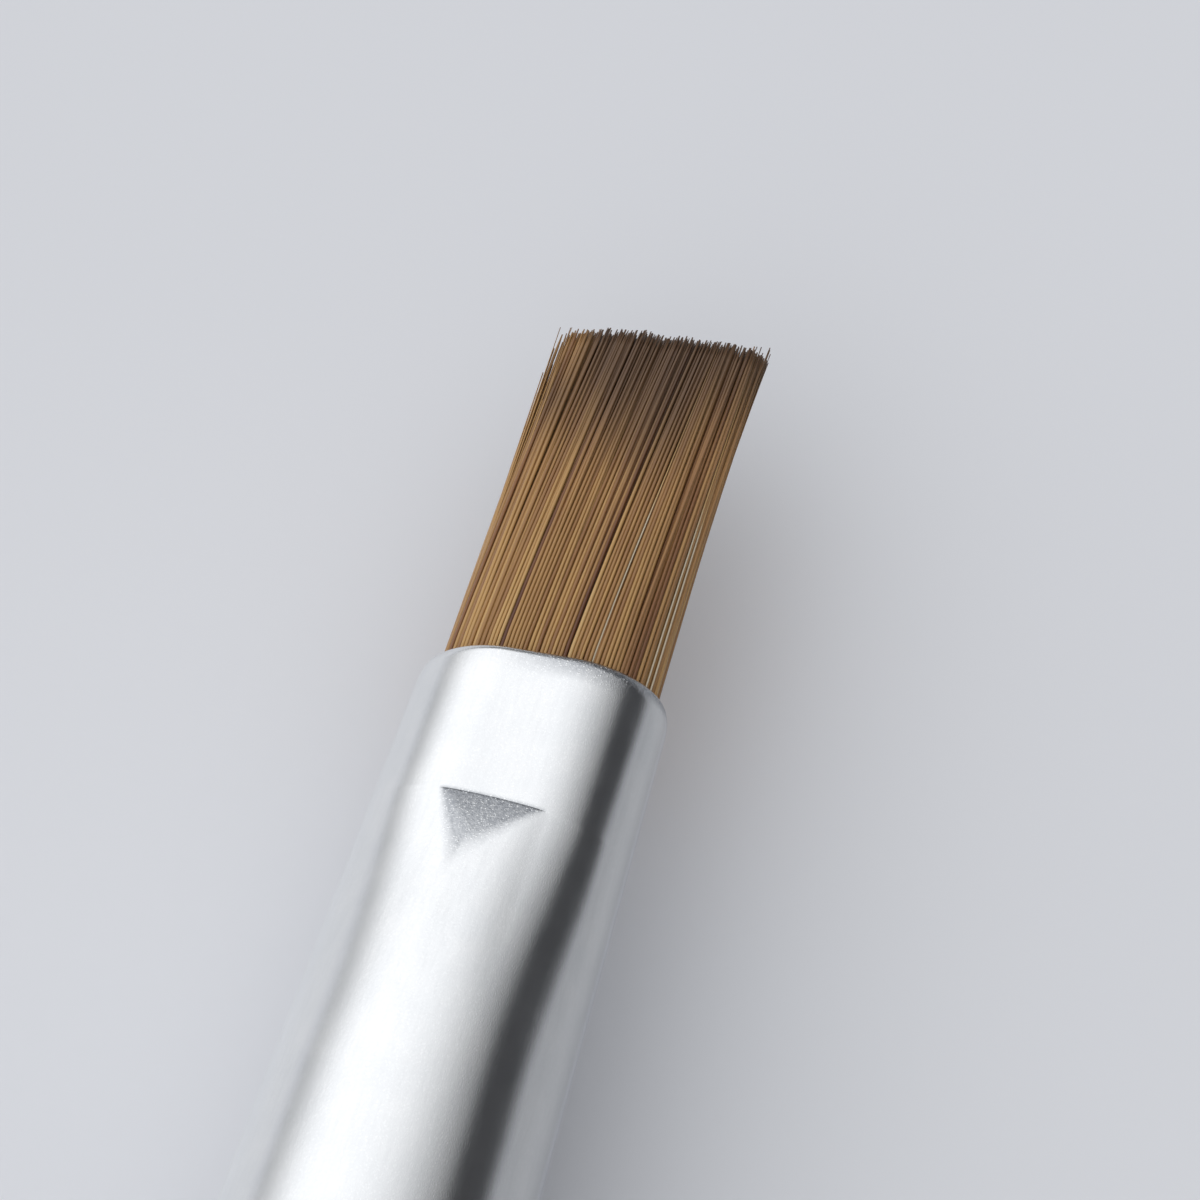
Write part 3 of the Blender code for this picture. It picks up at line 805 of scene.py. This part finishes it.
# Tones run from 0, dark, to 1, pale. The pale filaments' tone is past 1, so that it stays pale near the tip.
TONE_MEAN = 0.55
TONE_SPREAD = 0.15
TONE_RANGE = (0.10, 0.93)
DARK_SHARE = 0.04
DARK_TONES = (0.12, 0.30)
# The pale filaments on top at the right stand for glints along strands: a painted highlight
PALE_COUNT = 3
PALE_TONE = 1.30
PALE_RADIUS_SHARE = 0.42
PALE_ACROSS = -0.35
PALE_HEIGHT_SHARE = 0.90

RADIUS_SHARES = (0.88, 1.04)
TIP_THINNING = 0.27
THINNING_POWER = 1.4
POINT_SHARES = (0.25, 0.55)

# Loose hairs in three groups: along the left edge, out of the right corner, and fine tips past the cut
STRAY_COUNTS = (70, 16, 36)
STRAY_PLACES = ((0.88, 0.985), (-0.985, -0.90), (-0.97, 0.97))
STRAY_SPREADS_MM = ((-0.02, 0.34), (-0.18, 0.0))
STRAY_TIP_SPREAD_MM = 0.08
STRAY_PAST_CUT_MM = ((-2.2, 0.25), (-0.3, 0.45), (0.00, 0.34))
STRAY_HEIGHTS = (-0.30, 0.80)
STRAY_RADIUS_SHARES = (0.38, 0.66)
STRAY_THINNING = 0.55
STRAY_TONES = (0.50, 0.94)
SPREAD_POWER_RIGHT = 3.5
SPREAD_POWER_LEFT = 1.6
# Hairs spread further out than this darken less towards their tips: painted backlight
WIDE_SPREAD = 0.05 * MM
WIDE_DARKENING = 0.70


# Half the height of the tuft's root section at a place across
def root_half_height(y):
    crown, side = arc_radii(MOUTH_HALF_WIDTH, MOUTH_HALF_HEIGHT, MOUTH_FLAT)
    crown, side = crown - ROOT_INSET, side - ROOT_INSET
    beyond = np.maximum(0.0, np.abs(y) - MOUTH_FLAT)
    on_crown = ROOT_HALF_HEIGHT - crown + np.sqrt(np.maximum(0.0, crown ** 2 - beyond ** 2))
    on_side = np.sqrt(np.maximum(0.0, side ** 2 - (np.abs(y) - ROOT_HALF_WIDTH + side) ** 2))
    return np.where(beyond <= crown * math.sin(ARC_JOINT), on_crown, on_side)


# Places (y, z) of the filaments in the mouth
def strand_roots(draw):
    rows = int(2 * ROOT_HALF_HEIGHT / (STRAND_SPACING * ROW_SHARE))
    columns = int(2 * ROOT_HALF_WIDTH / STRAND_SPACING)
    roots = []
    for row in range(rows + 1):
        z = -ROOT_HALF_HEIGHT + STRAND_RADIUS + (2 * ROOT_HALF_HEIGHT - 2 * STRAND_RADIUS) * row / rows
        for column in range(columns + 1):
            y = -ROOT_HALF_WIDTH + STRAND_SPACING * (column + 0.5 * (row % 2))
            if abs(y) < ROOT_HALF_WIDTH and abs(z) <= root_half_height(y) - ROW_MARGIN:
                roots.append((y, z))
    roots = np.array(roots)
    inner = np.abs(roots[:, 1]) < root_half_height(roots[:, 0]) - SKIN_MARGIN
    y = np.linspace(-1.0, 1.0, SKIN_STRANDS) * (ROOT_HALF_WIDTH - STRAND_RADIUS)
    z = root_half_height(y) - STRAND_RADIUS
    skin = np.concatenate([np.stack([y, z], axis=1), np.stack([y, -z], axis=1)])
    roots = np.concatenate([roots[inner], skin])
    return roots + draw.uniform(-1.0, 1.0, roots.shape) * ROOT_JITTER


# Places along the filaments: (strand, station) x, and the share of the free length that each has reached
def stations_along(length):
    share = np.array(STATION_SHARES)[None, :]
    x = MOUTH - TUFT_ROOT_DEPTH + share * (length + TUFT_ROOT_DEPTH)[:, None]
    return x, np.clip((x - MOUTH) / TUFT_LENGTH, 0.0, MOST_OUT)


# Places (strand, station) y and z of lines that follow the tuft's taper, bend and lean
def tuft_course(y, z, across, out):
    line_y = y[:, None] * (1 + (TIP_WIDTH_SHARE - 1) * out) - TUFT_BEND * out ** 2
    line_y -= LEAN * (1 - across[:, None] ** 2) * out ** LEAN_POWER
    return line_y, z[:, None] * (1 + (TIP_THICKNESS_SHARE - 1) * out)


# Centre lines of the filaments: (strand, station, xyz), with their radii, tones and shares reached
def tuft_lines(draw):
    roots = strand_roots(draw)
    count = len(roots)
    y, z = roots[:, 0], roots[:, 1]
    across = y / ROOT_HALF_WIDTH
    lock = np.searchsorted(LOCK_EDGES, across)
    bounds = np.concatenate(([-1.0], LOCK_EDGES, [1.0]))
    lock_middle = (bounds[lock] + bounds[lock + 1]) / 2 * ROOT_HALF_WIDTH
    locks = len(LOCK_EDGES) + 1
    lock_lean = draw.uniform(-LOCK_LEAN, LOCK_LEAN, locks)[lock]
    lock_lift = draw.uniform(-LOCK_LIFT, LOCK_LIFT, locks)[lock]
    lock_tone = draw.uniform(-LOCK_TONE, LOCK_TONE, locks)[lock]
    own_lean = draw.normal(0.0, OWN_LEAN, count)
    own_lift = draw.normal(0.0, OWN_LIFT, count)
    wave = draw.uniform(0.0, math.tau, count)
    wave_size = draw.uniform(0.0, WAVE_SIZE, count)
    cut = CUT_SLANT * (across + 1) / 2 - CUT_EXTRA + CUT_UNEVENNESS * draw.random(count) ** CUT_UNEVENNESS_POWER
    x, out = stations_along(TUFT_LENGTH - cut)
    line_y, line_z = tuft_course(y, z, across, out)
    line_y += (lock_middle - y)[:, None] * LOCK_GATHER * out ** LOCK_GATHER_POWER
    line_y += (lock_lean + own_lean)[:, None] * out
    line_y += wave_size[:, None] * np.sin(wave[:, None] + WAVE_TURN * out) * out ** 0.5
    line_z += (lock_lift + own_lift)[:, None] * out ** LIFT_POWER
    tone = np.clip(draw.normal(TONE_MEAN, TONE_SPREAD, count) + lock_tone, *TONE_RANGE)
    dark = draw.random(count) < DARK_SHARE
    tone[dark] = draw.uniform(*DARK_TONES, dark.sum())
    opening = GAP_WIDTH * np.sin(np.clip(GAP_END * out, 0.0, 1.0) * math.pi)
    for edge in OPEN_EDGES:
        aside = y - edge * ROOT_HALF_WIDTH
        near = np.exp(-((aside / GAP_REACH) ** 2))
        line_y += (np.sign(aside) * near)[:, None] * opening
        # Painted shade: the strands beside a gap take a dark tone
        tone = np.where(np.abs(aside) < GAP_SHADE_REACH, GAP_SHADE_TONE, tone)
    lines = np.stack([x, line_y, AXIS_Z + line_z], axis=2)
    radius = STRAND_RADIUS * draw.uniform(*RADIUS_SHARES, count)[:, None]
    radius = radius * (1 - TIP_THINNING * out ** THINNING_POWER)
    radius[:, -1] *= draw.uniform(*POINT_SHARES, count)
    # Painted highlight: a few thin top strands at the right turn pale
    on_top = (across < PALE_ACROSS) & (z > PALE_HEIGHT_SHARE * root_half_height(y))
    pale = draw.choice(np.flatnonzero(on_top), PALE_COUNT, replace=False)
    tone[pale] = PALE_TONE
    radius[pale] *= PALE_RADIUS_SHARE
    return lines, radius, tone, out


# One even draw for each loose hair, from its group's range
def stray_draws(draw, ranges):
    return [draw.uniform(low, high, count) for (low, high), count in zip(ranges, STRAY_COUNTS)]


# Centre lines of the loose hairs, with their radii, tones and shares reached
def stray_lines(draw):
    across = np.concatenate(stray_draws(draw, STRAY_PLACES))
    spread = stray_draws(draw, STRAY_SPREADS_MM)
    spread.append(draw.normal(0.0, STRAY_TIP_SPREAD_MM, STRAY_COUNTS[-1]))
    spread = np.concatenate(spread) * MM
    past_cut = np.concatenate(stray_draws(draw, STRAY_PAST_CUT_MM)) * MM
    count = len(across)
    y = ROOT_HALF_WIDTH * across
    z = draw.uniform(*STRAY_HEIGHTS, count) * root_half_height(y)
    x, out = stations_along(TUFT_LENGTH - CUT_SLANT * (across + 1) / 2 + past_cut)
    line_y, line_z = tuft_course(y, z, across, out)
    spread_power = np.where(across < 0.0, SPREAD_POWER_RIGHT, SPREAD_POWER_LEFT)
    line_y += spread[:, None] * out ** spread_power[:, None]
    lines = np.stack([x, line_y, AXIS_Z + line_z], axis=2)
    radius = STRAND_RADIUS * draw.uniform(*STRAY_RADIUS_SHARES, count)[:, None] * (1 - STRAY_THINNING * out)
    tone = draw.uniform(*STRAY_TONES, count)
    # Widely spread hairs darken less: painted backlight
    return lines, radius, tone, out * np.where(spread > WIDE_SPREAD, WIDE_DARKENING, 1.0)[:, None]


# Six-sided closed tubes round the centre lines
def strands_piece(name, lines, radius, tone, out, material):
    count, stations = lines.shape[:2]
    angles = np.arange(STRAND_SIDES) * math.tau / STRAND_SIDES
    around = np.stack([np.zeros(STRAND_SIDES), np.cos(angles), np.sin(angles)], axis=1)
    points = lines[:, :, None, :] + radius[:, :, None, None] * around[None, None, :, :]
    index = np.arange(count * stations * STRAND_SIDES).reshape(count, stations, STRAND_SIDES)
    turned = np.roll(index, -1, axis=2)
    quads = np.stack([index[:, :-1], turned[:, :-1], turned[:, 1:], index[:, 1:]], axis=-1).reshape(-1, 4)
    faces = quads.tolist() + index[:, 0, ::-1].tolist() + index[:, -1].tolist()
    piece = mesh_piece(name, points.reshape(-1, 3).tolist(), faces, material)
    set_values(piece.data, "tone", np.broadcast_to(tone[:, None, None], index.shape).ravel())
    set_values(piece.data, "along", np.broadcast_to(out[:, :, None], index.shape).ravel())
    lay_out_strands(piece.data, count, stations)
    return piece


# A narrow upright strip of the map for every strand, so that a bake keeps each one's tone
def lay_out_strands(mesh, count, stations):
    rows = 4
    side_margin, end_margin = 0.12, 0.02
    columns = math.ceil(count / rows)
    corner = np.zeros(len(mesh.loops), np.int32)
    mesh.loops.foreach_get("vertex_index", corner)
    strand, rest = np.divmod(corner, stations * STRAND_SIDES)
    station, side = np.divmod(rest, STRAND_SIDES)
    u = (strand % columns + side_margin + (1 - 2 * side_margin) * side / STRAND_SIDES) / columns
    v = (strand // columns + end_margin + (1 - 2 * end_margin) * station / (stations - 1)) / rows
    layer = mesh.uv_layers.new(name="OFBake")
    layer.data.foreach_set("uv", np.stack([u, v], axis=1).ravel().astype(np.float32))


# ---------------------------------------------------------------- stage


SENSOR_WIDTH = 36.0
CAMERA_DISTANCE = 0.2
FRAME_WIDTH = 0.030
TILT_BACK = math.radians(27.7)
ROLL = math.radians(-10.6)
AXIS_LEAN = math.radians(18.05)
AIM_RIGHT = 0.001325
AIM_UP = 0.002275

FLOOR_REACH = 12.0
FLOOR_DROP = 0.00002

CARD_REACH = 0.30
SHEET_LIFT = 0.0003
SHEET_LEFT_END = 0.060
SHEET_GAP = 0.0050
CARD_FOOT_END = -0.030
CARD_PLACE = -0.032
CARD_HEIGHT = 0.0263

SOFTBOX_DIRECTION = (0.0, 0.643, 0.766)


def add_camera():
    mouth = Vector((MOUTH, 0.0, AXIS_Z))
    towards = Vector(
        (-math.sin(TILT_BACK), math.cos(TILT_BACK) * math.sin(ROLL), math.cos(TILT_BACK) * math.cos(ROLL))
    )
    along = (Vector(X_AXIS) - towards * towards.x).normalized()
    beside = along.cross(towards)
    up = math.cos(AXIS_LEAN) * along - math.sin(AXIS_LEAN) * beside
    right = math.sin(AXIS_LEAN) * along + math.cos(AXIS_LEAN) * beside
    place = mouth + towards * CAMERA_DISTANCE
    target = mouth + right * AIM_RIGHT + up * AIM_UP
    backwards = (place - target).normalized()
    side = up.cross(backwards).normalized()
    upright = backwards.cross(side)
    data = bpy.data.cameras.new("camera")
    data.sensor_width = SENSOR_WIDTH
    data.lens = SENSOR_WIDTH * CAMERA_DISTANCE / FRAME_WIDTH
    data.clip_start = 0.01
    data.clip_end = 50.0
    camera = link(bpy.data.objects.new("camera", data))
    turn = Matrix((side, upright, backwards)).transposed()
    camera.matrix_world = Matrix.Translation(place) @ turn.to_4x4()
    bpy.context.scene.camera = camera


def floor_material():
    material, nodes, shader, place = new_material("floor_matt")
    cloud = nodes.noise(place, 25.0, 2.0)
    speck = nodes.noise(place, 6000.0, 2.0)
    tint = nodes.tones(cloud, (0.748, 0.755, 0.792), (0.766, 0.774, 0.810))
    set_surface(nodes, shader, tint, nodes.swing(speck, 0.55, 0.65), nodes.bump(speck, 0.000003, 0.3))
    shader.inputs["Specular IOR Level"].default_value = 0.0
    return material


def add_floor():
    corners = ((-1, -1), (1, -1), (1, 1), (-1, 1))
    points = [(FLOOR_REACH * x, FLOOR_REACH * y, -FLOOR_DROP) for x, y in corners]
    floor = mesh_piece("floor", points, [(0, 1, 2, 3)], floor_material())


# A pale dome, brightest high on the left, that darkens towards the right, near the floor and ahead of the
# tip. The light's direction is taken across the brush's axis, so that it stays the same where the metal
# rises along the axis.
def light_dome():
    world = bpy.data.worlds.new("studio")
    bpy.context.scene.world = world
    world.use_nodes = True
    nodes = Nodes(world.node_tree)
    direction = nodes.add("ShaderNodeVectorMath", operation="NORMALIZE")
    nodes.put(direction.inputs[0], nodes.add("ShaderNodeTexCoord").outputs["Generated"])
    ray = direction.outputs[0]
    along = nodes.dot(ray, X_AXIS)
    across = nodes.math("SQRT", nodes.math("SUBTRACT", 1.0001, nodes.product(along, along)), 0.0)
    side = nodes.math("DIVIDE", nodes.dot(ray, SOFTBOX_DIRECTION), across)
    rise = nodes.math("DIVIDE", nodes.dot(ray, Z_AXIS), across)
    softbox = nodes.span(side, -0.576, 1.243, 0.04, 1.31, smooth=True)
    low = nodes.span(rise, 0.0, 0.678, 0.50, 1.0, smooth=True)
    ahead = nodes.span(along, 0.72, 0.91, 1.0, 0.18, smooth=True)
    background = world.node_tree.nodes["Background"]
    background.inputs["Color"].default_value = (0.975, 0.988, 1.0, 1.0)
    nodes.put(background.inputs["Strength"], nodes.product(nodes.product(softbox, low), ahead))


# White on the left of the brush, grey at the upright card's foot on the right, and dark above it
def card_material():
    material, nodes, shader, place = new_material("card_black")
    weave = nodes.noise(place, 900.0, 2.0)
    across = nodes.dot(place, Y_AXIS)
    dark = nodes.tones(weave, (0.030, 0.030, 0.032), (0.045, 0.045, 0.048))
    pale = nodes.tones(weave, (0.44, 0.445, 0.46), (0.48, 0.485, 0.50))
    pale = nodes.mix(nodes.span(across, -0.018, -0.006), pale, (0.60, 0.605, 0.62))
    pale = nodes.mix(nodes.span(across, -0.001, 0.001), pale, (0.86, 0.865, 0.88))
    height = nodes.span(nodes.dot(place, Z_AXIS), 0.001, 0.009, smooth=True)
    nodes.put(shader.inputs["Base Color"], nodes.mix(height, pale, dark))
    nodes.put(shader.inputs["Roughness"], nodes.swing(weave, 0.75, 0.85))
    return material


# A dark card on the right, as a photographer sets one up, that bends to grey at its foot, and a white one
# on the left: only the metal's reflections see them
def add_card():
    left_sheet = [(SHEET_LEFT_END, SHEET_LIFT), (SHEET_GAP, SHEET_LIFT)]
    foot = [(-SHEET_GAP, SHEET_LIFT), (CARD_FOOT_END, SHEET_LIFT)]
    upright = [(CARD_PLACE, 0.0), (CARD_PLACE, CARD_HEIGHT)]
    points = [(x, y, z) for y, z in left_sheet + foot + upright for x in (-CARD_REACH, CARD_REACH)]
    # A face between each row of two points and the next, but none under the brush
    faces = [(first, first + 1, first + 3, first + 2) for first in (0, 4, 6, 8)]
    card = mesh_piece("card", points, faces, card_material())
    card.visible_camera = False
    card.visible_diffuse = False
    card.visible_shadow = False


# ---------------------------------------------------------------- assembly


def build():
    tube = tube_material()
    plastic = plastic_material("plastic_black", (0.016, 0.016, 0.018), (0.026, 0.026, 0.028), 0.36)
    liner = plastic_material("liner_grey", (0.040, 0.040, 0.044), (0.058, 0.058, 0.062), 0.46)
    dress(turned_piece("barrel_skin", barrel_corners(), True, tube), "barrel_tube", "brush")
    dress(turned_piece("neck_skin", neck_corners(), False, plastic), "neck_core", "brush")
    dress(turned_piece("tail_skin", tail_corners(), False, plastic), "tail_plug", "brush")
    dress(turned_piece("cap_skin", cap_corners(), False, tube), "cap_shell", "cap")
    dress(turned_piece("liner_skin", liner_corners(), True, liner), "cap_liner", "cap")
    dress(ferrule_piece(ferrule_material()), "ferrule", "brush")

    draw = np.random.default_rng(TUFT_SEED)
    filament = filament_material()
    tuft = strands_piece("tuft_filaments", *tuft_lines(draw), filament)
    dress(tuft, "bristle_tuft", "brush")
    strays = strands_piece("tuft_strays", *stray_lines(draw), filament)
    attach(strays, "brush")

    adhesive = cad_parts["root_adhesive"]
    adhesive.data.materials.clear()
    adhesive.data.materials.append(resin_material())


add_camera()
add_floor()
add_card()
light_dome()
build()
bpy.context.scene.view_settings.view_transform = "Standard"
